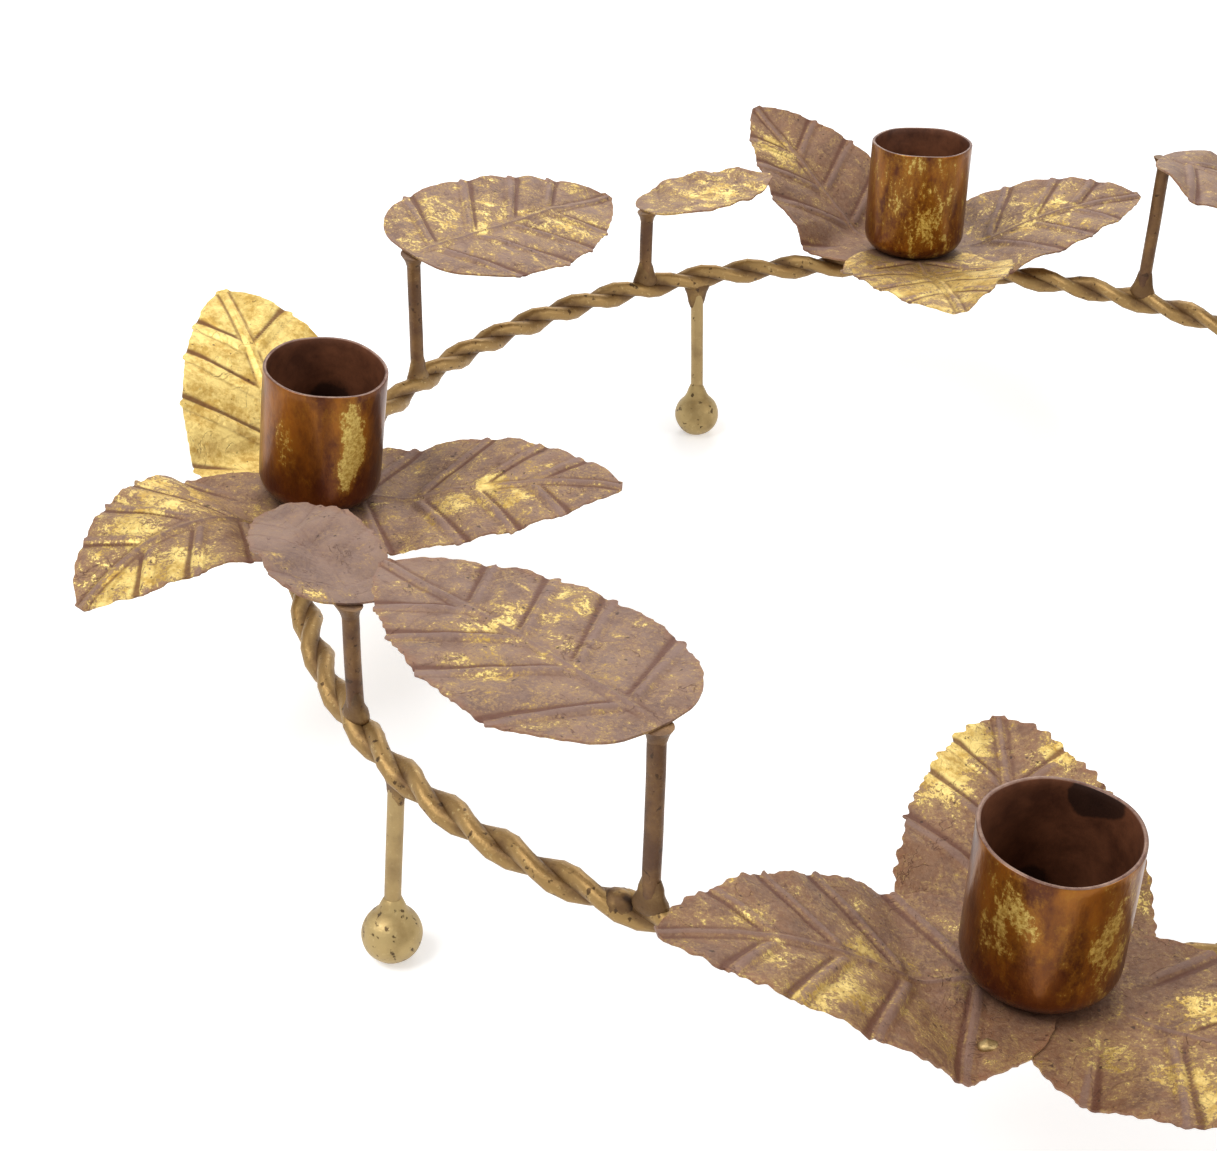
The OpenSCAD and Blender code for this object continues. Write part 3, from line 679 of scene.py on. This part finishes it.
def bend_leaf(blank, name, size, heel, flat, pose, frame_of_leaf, relief_from, shift):
    """A copy of the blank that gets its relief, is bent to its pose and set
    in its place."""
    leaf = copied(blank, name + "_sheet")
    length, width = size
    own, brown, teeth, spots = FINISH[name]
    seed = sum(map(ord, name)) * 0.37
    count = len(leaf.data.vertices)
    cuts = [0.0] * count
    leaf.data.attributes["cut"].data.foreach_get("value", cuts)
    gilt, press, rim, cup_foot_shade = [], [], [], []
    for vertex, cut in zip(leaf.data.vertices, cuts):
        along, off, rise = vertex.co / MM
        run = along - heel
        # The relief fades out where leaves and post are stacked on the seat
        kept = smooth(run, relief_from, relief_from + 5)
        half = outline(min(0.999, max(0.001, along / length))) * width / 2 + 0.01
        height, share = pressed(along, off, length, half, shift)
        near_edge = smooth(abs(off) / half, 0.8, 1.0)
        # Ribs end in a notch of the edge, and the edge is filed down by hand
        cut = teeth * cut - NOTCH * near_edge * max(0.0, share) * kept - FILED * near_edge
        off += math.copysign(cut, off)
        press.append(share * kept)
        rim.append(max(0.0, 1 - max(0.0, half - abs(off)) / WORN_W))
        # Painted shade round the foot of a rosette's cup, none on a post leaf
        from_cup = max(0.0, math.hypot(run, off) - CUP_R + CUP_EDGE)
        cup_foot_shade.append(0.0 if flat == POST_LEAF_FLAT else math.exp(-(from_cup / CUP_SHADE_REACH) ** 2))
        amount = own
        for spot_along, spot_off, radius, more in spots:
            gap = math.hypot(along - spot_along, off - spot_off)
            amount += more * math.exp(-(gap / radius) ** 2)
        gilt.append(amount)
        hand = noise.noise(Vector((along * HAND_RATE, off * HAND_RATE, seed))) * smooth(run, flat, flat + 14)
        dent = noise.noise(Vector((along * DENT_RATE, off * DENT_RATE, seed))) * smooth(run, flat, flat + 6)
        rise += height * kept + HAND_BEND * hand + DENTS[size] * dent
        place = bent(run, off, rise, flat, pose)
        vertex.co = frame_of_leaf @ (place * MM)
    for attribute, values in (("gilt", gilt), ("press", press), ("rim", rim), ("cup_foot_shade", cup_foot_shade),
                              ("brown", [brown] * count)):
        mark(leaf, attribute, values)
    leaf.data.attributes.remove(leaf.data.attributes["cut"])
    keep_smooth(leaf, 40)
    dress(leaf, "leaf_sheet", LEAF_FINISH, name)


def at(point):
    return Matrix.Translation(point * MM)


def turned(angle, axis):
    return Matrix.Rotation(math.radians(angle), 4, axis)


def rosette_frame(name):
    angle, out, lean, towards, leaves = ROSETTES[name]
    seat = on_ring(angle, out, RING_TOP + SOLDER_GAP)
    return at(seat) @ turned(towards, "Z") @ turned(lean, "Y") @ turned(-towards, "Z")


def post_leaf_frame(name):
    angle, height, size, pose = POSTS[name]
    direction, rise, roll = pose[:3]
    stand = at(on_ring(angle, 0, height)) @ turned(direction, "Z")
    return stand @ turned(-rise, "Y") @ turned(roll, "X")


large_blank = leaf_blank("large_blank", LARGE_LEAF, columns=46)
small_blank = leaf_blank("small_blank", SMALL_LEAF, columns=28)
for ring_name, (angle, out, lean, towards, leaves) in ROSETTES.items():
    for level, (direction, heel, *pose) in enumerate(leaves):
        here = rosette_frame(ring_name) @ at(Vector((0, 0, level * STACK_STEP))) @ turned(direction, "Z")
        bend_leaf(large_blank, f"rosette_{ring_name}_{level + 1}", LARGE_LEAF, heel,
                  ROSETTE_FLAT, pose, here, TOP_RELIEF_AT if level == 2 else RELIEF_AT, ROSETTE_VEIN_SHIFT)
for post_name, (angle, height, size, pose) in POSTS.items():
    blank = large_blank if size is LARGE_LEAF else small_blank
    bend_leaf(blank, f"leaf_{post_name}", size, LEAF_HEEL, POST_LEAF_FLAT, (0, *pose[3:]),
              post_leaf_frame(post_name), 0, 0)
drop(large_blank)
drop(small_blank)

# The twisted ring


def lay_ring_wire(side, name, node):
    """One wire of the ring. It starts as a torus, whose rounds are then laid
    round the pair's centre line, right-handed."""
    nothing_selected()
    rounds_per_turn = 20
    bpy.ops.mesh.primitive_torus_add(major_segments=TWIST_TURNS * rounds_per_turn, minor_segments=14,
                                     major_radius=RING_R * MM, minor_radius=WIRE_R * MM)
    wire = begin(name)

    def centre(angle):
        lay = LAY_AT_START + 180 * side - TWIST_TURNS * angle
        return on_ring(angle, WIRE_R * cosd(lay), WIRE_R * sind(lay)), lay

    press = []

    def lay_out(point):
        angle = math.degrees(math.atan2(point.y, point.x))
        turn = math.atan2(point.z, math.hypot(point.x, point.y) - RING_R)
        here, lay = centre(angle)
        ahead = (centre(angle + 0.05)[0] - centre(angle - 0.05)[0]).normalized()
        out = Vector((cosd(lay) * cosd(angle), cosd(lay) * sind(angle), sind(lay)))
        across = out.cross(ahead).normalized()
        out = ahead.cross(across)
        swell = 1 + WIRE_SWELL * noise.noise(here * 0.12 + Vector((side * 40, 0, 0)))
        # Where the wires touch, gold paint and solder fill up the groove
        press.append(math.cos(turn))
        reach = WIRE_R * swell * (1 + GROOVE_FILL * smooth(-math.cos(turn), -0.1, 0.7))
        return here + reach * (math.cos(turn) * out + math.sin(turn) * across)

    set_points(wire, lay_out)
    # press is high on each wire's outer side and low in the groove where the wires touch, so the wire finish
    # paints shade into the groove and highlight onto the crests
    mark(wire, "press", [0.35 + 0.5 * value for value in press])
    keep_smooth(wire, 60)
    dress(wire, "gilded_wire", WIRE_FINISH, node)


lay_ring_wire(0, "twisted_wire_a", "ring_wire_a")
lay_ring_wire(1, "twisted_wire_b", "ring_wire_b")

# Posts, legs, feet and solder


def drawn_rod(name, stations, sides=20):
    """A round rod along Z: a circle that is extruded and scaled from one
    station, (height, radius) in mm, to the next. Its ends are closed."""
    nothing_selected()
    height, radius = stations[0]
    bpy.ops.mesh.primitive_circle_add(vertices=sides, radius=radius * MM, fill_type="NGON",
                                      location=(0, 0, height * MM))
    rod = begin(name)
    bpy.ops.object.transform_apply(location=True, rotation=True, scale=True)
    bpy.ops.object.mode_set(mode="EDIT")
    bpy.ops.mesh.select_all(action="SELECT")
    for next_height, next_radius in stations[1:]:
        rise = (next_height - height) * MM
        bpy.ops.mesh.extrude_region_move(TRANSFORM_OT_translate={"value": (0, 0, rise)})
        share = next_radius / radius
        bpy.ops.transform.resize(value=(share, share, 1), center_override=(0, 0, next_height * MM))
        height, radius = next_height, next_radius
    bpy.ops.mesh.select_all(action="SELECT")
    bpy.ops.mesh.normals_make_consistent(inside=False)
    bpy.ops.object.mode_set(mode="OBJECT")
    return rod


def cut_above(piece, point, normal):
    """Cuts off what lies past a plane, given in mm, and closes the cut."""
    nothing_selected()
    piece.select_set(True)
    bpy.context.view_layer.objects.active = piece
    bpy.ops.object.mode_set(mode="EDIT")
    bpy.ops.mesh.select_all(action="SELECT")
    bpy.ops.mesh.bisect(plane_co=point * MM, plane_no=normal, use_fill=True, clear_outer=True,
                        threshold=MM / 1000)
    bpy.ops.object.mode_set(mode="OBJECT")


def joined(pieces, name):
    nothing_selected()
    for piece in pieces:
        piece.select_set(True)
    bpy.context.view_layer.objects.active = pieces[0]
    bpy.ops.object.join()
    return begin(name)


def rough_up(piece, amount, size, seed):
    """Small unevenness of hand work, in mm."""
    set_points(piece, lambda p: p + amount * noise.noise_vector(p / size + Vector((seed, 0, 0))))


def put(piece, place):
    piece.data.transform(place)
    piece.data.update()


def shaft(low, high, steps):
    """Stations of a plain wire from one height to another."""
    return [(low + (high - low) * k / steps, WIRE_R) for k in range(steps + 1)]


def crest(angle):
    """How high the twisted pair stands over its centre line at an angle."""
    reach = math.degrees(math.asin(WIRE_R / RING_R))
    lays = [LAY_AT_START - TWIST_TURNS * (angle + reach * step / 4) for step in range(-4, 5)]
    return WIRE_R + CAD_LAY_R * max(abs(sind(lay)) for lay in lays)


def spread(angle):
    """Solder runs along the ring more than across it."""
    return turned(angle, "Z") @ Matrix.Diagonal((0.88, 1.35, 1, 1)) @ turned(-angle, "Z")


base_solder, leaf_solder = [], []
for seed, (post_name, (angle, height, size, pose)) in enumerate(POSTS.items()):
    stand = at(on_ring(angle))
    foot = crest(angle) + SOLDER_GAP
    here = post_leaf_frame(post_name)
    under = here.translation / MM
    leaf_up = here.to_3x3() @ Vector((0, 0, 1))
    cut_at = under - on_ring(angle)
    post = drawn_rod("wire_post_" + post_name, shaft(foot - SHAFT_SINK, height + POST_SPARE, 10))
    cut_above(post, cut_at - 0.02 * leaf_up, leaf_up)
    put(post, stand)
    rough_up(post, 0.12, 9, seed)
    blotch(post, 0.2, 0.25, 5)
    keep_smooth(post, 50)
    dress(post, "bronzed_wire", POST_FINISH, "post_" + post_name)

    fillet = drawn_rod("fillet", [(foot + rise, radius) for rise, radius in FILLET])
    put(fillet, stand @ spread(angle))
    rough_up(fillet, 0.25, 2.5, seed + 0.5)
    base_solder.append(fillet)
    bead = drawn_rod("bead", [(height + rise, radius) for rise, radius in BEAD])
    cut_above(bead, cut_at - 0.03 * leaf_up, leaf_up)
    put(bead, stand)
    rough_up(bead, 0.2, 2.2, seed + 7)
    leaf_solder.append(bead)

for seed, (leg_name, (angle, foot_angle, shift)) in enumerate(LEGS.items()):
    reach = ring_at(foot_angle) + shift
    ball = Vector((reach * cosd(foot_angle), reach * sind(foot_angle), FOOT_Z))
    run = on_ring(angle) - ball
    length = run.length
    stand = at(ball) @ run.to_track_quat("Z", "Y").to_matrix().to_4x4()
    top = length - crest(angle) - SOLDER_GAP
    leg = drawn_rod("wire_leg_" + leg_name, shaft(FOOT_R - SOCKET_DEPTH, top + SHAFT_SINK, 9))
    put(leg, stand)
    rough_up(leg, 0.1, 9, seed + 20)
    blotch(leg, 0.45, 0.25, 5)
    keep_smooth(leg, 50)
    dress(leg, "gilded_wire", LEG_FINISH, "leg_" + leg_name)

    fillet = drawn_rod("fillet", [(top - rise, radius) for rise, radius in reversed(FILLET)])
    put(fillet, at(on_ring(angle)) @ spread(angle) @ at(-on_ring(angle)) @ stand)
    rough_up(fillet, 0.22, 2.5, seed + 30)
    base_solder.append(fillet)

    nothing_selected()
    bpy.ops.mesh.primitive_uv_sphere_add(segments=48, ring_count=32, radius=FOOT_R * MM)
    foot = begin("ball_foot_" + leg_name)

    def neck(point):
        # The ball's crown is drawn up round the wire into a short neck
        flat_r = math.hypot(point.x, point.y)
        if point.z < 0 or flat_r > NECK_LOW_R:
            return point
        lift = NECK_H * (1 - smooth(flat_r, NECK_TOP_R, NECK_LOW_R)) ** 1.5
        return Vector((point.x, point.y, point.z + lift))

    set_points(foot, neck)
    put(foot, stand)
    rough_up(foot, 0.07, 3, seed + 40)
    cut_above(foot, Vector((0, 0, 0)), Vector((0, 0, -1)))
    blotch(foot, 0.4, 0.35, 4)
    keep_smooth(foot, 50)
    dress(foot, "foot_gilt", FOOT_FINISH, "foot_" + leg_name)

ring_solder = joined(base_solder, "ring_solder")
blotch(ring_solder, 0.05, 0.4, 3)
keep_smooth(ring_solder, 60)
dress(ring_solder, "gilded_wire", WIRE_FINISH, "leg_solder")
# The weld that closes the ring, a lump drawn out along the wires beside the
# front tall post
weld = drawn_rod("ring_weld", WELD, 36)
lying = at(on_ring(WELD_AT)) @ turned(WELD_AT, "Z") @ turned(90, "X")
put(weld, lying @ Matrix.Diagonal((0.92, 0.95, 1, 1)))
rough_up(weld, 0.4, 1.5, 61)
blotch(weld, -0.1, 0.9, 1.5)
keep_smooth(weld, 60)
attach(weld, "root")
weld.data.materials.append(WIRE_FINISH)

# A drop of solder that fell on the front rosette, between two leaves
nothing_selected()
bpy.ops.mesh.primitive_uv_sphere_add(segments=20, ring_count=12, radius=1.1 * MM)
drop_of_solder = begin("solder_drop")
fallen = rosette_frame("front") @ turned(192, "Z") @ at(Vector((12.5, 13.5, 2 * STACK_STEP + 0.6)))
put(drop_of_solder, fallen @ Matrix.Diagonal((1.25, 1, 0.75, 1)))
rough_up(drop_of_solder, 0.3, 1.2, 77)
mark(drop_of_solder, "press", [0.7] * len(drop_of_solder.data.vertices))
keep_smooth(drop_of_solder, 60)
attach(drop_of_solder, "root")
drop_of_solder.data.materials.append(LEG_FINISH)

post_solder = joined(leaf_solder, "leaf_solder_beads")
blotch(post_solder, 0.3, 0.4, 3)
keep_smooth(post_solder, 60)
dress(post_solder, "bronzed_wire", POST_FINISH, "leaf_solder")

# Cups


def make_cup():
    """The cup as it was drawn from sheet: a tube with a rounded foot. It
    starts as a cylinder whose lid is taken off."""
    nothing_selected()
    bpy.ops.mesh.primitive_cylinder_add(vertices=96, radius=CUP_R * MM, depth=CUP_H * MM,
                                        location=(0, 0, CUP_H / 2 * MM), end_fill_type="NGON")
    cup = begin("cup_blank")
    bpy.ops.object.transform_apply(location=True, rotation=True, scale=True)
    bpy.ops.object.mode_set(mode="EDIT")
    select_edit(cup, "FACE", lambda f: f.normal.z > 0.9)
    bpy.ops.mesh.delete(type="ONLY_FACE")
    select_edit(cup, "EDGE", lambda e: all(v.co.z < 0.1 * MM for v in e.verts))
    bpy.ops.mesh.bevel(offset=CUP_EDGE * MM, segments=8, profile=0.5)
    select_edit(cup, "EDGE", lambda e: e.calc_length() > CUP_H / 2 * MM)
    bpy.ops.mesh.subdivide(number_cuts=13)
    select_edit(cup, "FACE", lambda f: f.normal.z < -0.99 and len(f.verts) > 8)
    bpy.ops.mesh.inset(thickness=(CUP_R - CUP_EDGE) / 2 * MM)
    bpy.ops.object.mode_set(mode="OBJECT")
    return cup


cup_blank = make_cup()
for number, cup_name in enumerate(ROSETTES):
    cup = copied(cup_blank, "candle_cup_" + cup_name)
    over = CUP_OVER[cup_name]
    mean, once, twice = CUP_RIMS[cup_name]

    def hand_cut(point):
        # The rim is trimmed by hand and the wall is a little out of round
        turn = math.atan2(point.y, point.x)
        high = smooth(point.z, CUP_H - OUT_OF_TRUE, CUP_H)
        dip = mean + once[0] * math.cos(turn) + once[1] * math.sin(turn)
        dip += twice[0] * math.cos(2 * turn) + twice[1] * math.sin(2 * turn)
        dip += RIPPLE * math.sin(5 * turn + 1.7 * number)
        swell = 1 + OUT_OF_ROUND * math.sin(3 * turn + number) * high
        stretch = over * smooth(point.z, CUP_EDGE, CUP_H)
        return Vector((point.x * swell, point.y * swell, point.z + stretch + dip * high))

    set_points(cup, hand_cut)
    own, spots = CUP_GILDING[cup_name]
    gilt, up, stain = [], [], []
    for vertex in cup.data.vertices:
        x, y, z = vertex.co / MM
        turn = math.degrees(math.atan2(y, x))
        amount = own
        for spot_turn, spot_z, radius, more in spots:
            aside = math.radians((turn - spot_turn + 180) % 360 - 180) * CUP_R
            amount += more * math.exp(-((aside / radius) ** 2 + ((z - spot_z) / (1.5 * radius)) ** 2))
        gilt.append(amount)
        up.append(z / CUP_H)
        dark = 0.0
        for spot_turn, spot_z, radius in CUP_STAINS.get(cup_name, []):
            aside = math.radians((turn - spot_turn + 180) % 360 - 180) * CUP_R
            dark += math.exp(-((aside / radius) ** 2 + ((z - spot_z) / radius) ** 2))
        stain.append(dark)
    mark(cup, "gilt", gilt)
    mark(cup, "up", up)
    mark(cup, "stain", stain)
    cup.data.materials.clear()
    for finish in (CUP_FINISH, CUP_INSIDE, CUP_RIM):
        cup.data.materials.append(finish)
    apply_modifier(cup, "SOLIDIFY", thickness=CUP_WALL * MM, offset=-1.0, use_even_offset=True,
                   material_offset=1, material_offset_rim=2)
    apply_modifier(cup, "BEVEL", width=RIM_ROUNDING * MM, segments=2, limit_method="ANGLE",
                   angle_limit=math.radians(50))
    put(cup, rosette_frame(cup_name) @ at(Vector((0, 0, 3 * STACK_STEP))))
    keep_smooth(cup, 50)
    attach(cup, "root")
    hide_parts("cup_" + cup_name)
drop(cup_blank)

# The studio: floor, lamps, world and camera

# Size of the floor in metres, its glow, and the light of the sky
FLOOR_SIZE = 30
PAPER_GLOW = 0.42
SKY_LIGHT = 0.55


def seen_directly(tree):
    """1 for rays from the camera, also by way of metal or glass, else 0."""
    path = add(tree, "ShaderNodeLightPath").outputs
    seen = add(tree, MATH, {"operation": "MAXIMUM"}, {0: path["Is Camera Ray"], 1: path["Is Glossy Ray"]})
    return add(tree, MATH, {"operation": "MAXIMUM"},
               {0: seen.outputs[0], 1: path["Is Transmission Ray"]}).outputs[0]


def white_floor():
    """White seamless paper. What the camera sees of it is lifted to white by
    its own glow, and it keeps the shadow."""
    material, t = new_material("white_seamless_paper")
    glow = add(t, MATH, TIMES, {0: seen_directly(t), 1: PAPER_GLOW})
    paper = add(t, "ShaderNodeBsdfDiffuse", inputs={"Color": linear("#f4f4f4")})
    light = add(t, "ShaderNodeEmission", inputs={"Color": linear("#ffffff"), "Strength": glow.outputs[0]})
    both = add(t, "ShaderNodeAddShader", inputs={0: paper.outputs[0], 1: light.outputs[0]})
    add(t, "ShaderNodeOutputMaterial", inputs={"Surface": both.outputs[0]})
    return material


nothing_selected()
bpy.ops.mesh.primitive_plane_add(size=FLOOR_SIZE, location=(0, 0, 0))
floor = begin("floor")
floor.data.materials.append(white_floor())

world = bpy.data.worlds.new("studio")
bpy.context.scene.world = world
world.use_nodes = True
tree = world.node_tree
tree.nodes.clear()
level = add(tree, RANGE, inputs={"Value": seen_directly(tree), "To Min": SKY_LIGHT, "To Max": 1.0})
sky = add(tree, "ShaderNodeBackground", inputs={"Color": linear("#ffffff"), "Strength": level.outputs[0]})
add(tree, "ShaderNodeOutputWorld", inputs={"Surface": sky.outputs[0]})


def softbox(name, place, size, power):
    """A square softbox that looks at the middle of the ring. Metres, watts."""
    light = bpy.data.lights.new(name, "AREA")
    light.shape = "SQUARE"
    light.size = size
    light.energy = power
    lamp = bpy.data.objects.new(name, light)
    bpy.context.scene.collection.objects.link(lamp)
    lamp.location = place
    lamp.rotation_euler = (Vector((0, 0, 0.04)) - Vector(place)).to_track_quat("-Z", "Y").to_euler()


softbox("key", (-0.7, -0.35, 1.1), 0.6, 9)
softbox("side", (1.0, -0.5, 0.6), 0.5, 3.5)
softbox("back", (0.1, 1.1, 0.8), 0.6, 4)

# The camera of the photograph, solved from the ring, the cups and the feet
PHOTO_W = 1217
FOCAL_PX = 2097.2
SENSOR = 36.0
PITCH = 33.53
ROLL = 1.29
CAMERA_AT = (-62.57, -353.63, 261.38)
camera_data = bpy.data.cameras.new("camera")
camera_data.sensor_width = SENSOR
camera_data.lens = FOCAL_PX * SENSOR / PHOTO_W
camera_data.clip_start = 0.01
camera = bpy.data.objects.new("camera", camera_data)
bpy.context.scene.collection.objects.link(camera)
bpy.context.scene.camera = camera
right = Vector((cosd(ROLL), sind(ROLL) * sind(PITCH), sind(ROLL) * cosd(PITCH)))
look = Vector((0, cosd(PITCH), -sind(PITCH)))
up = right.cross(look)
camera.matrix_world = at(Vector(CAMERA_AT)) @ Matrix((right, up, -look)).transposed().to_4x4()
bpy.context.scene.view_settings.view_transform = "Standard"
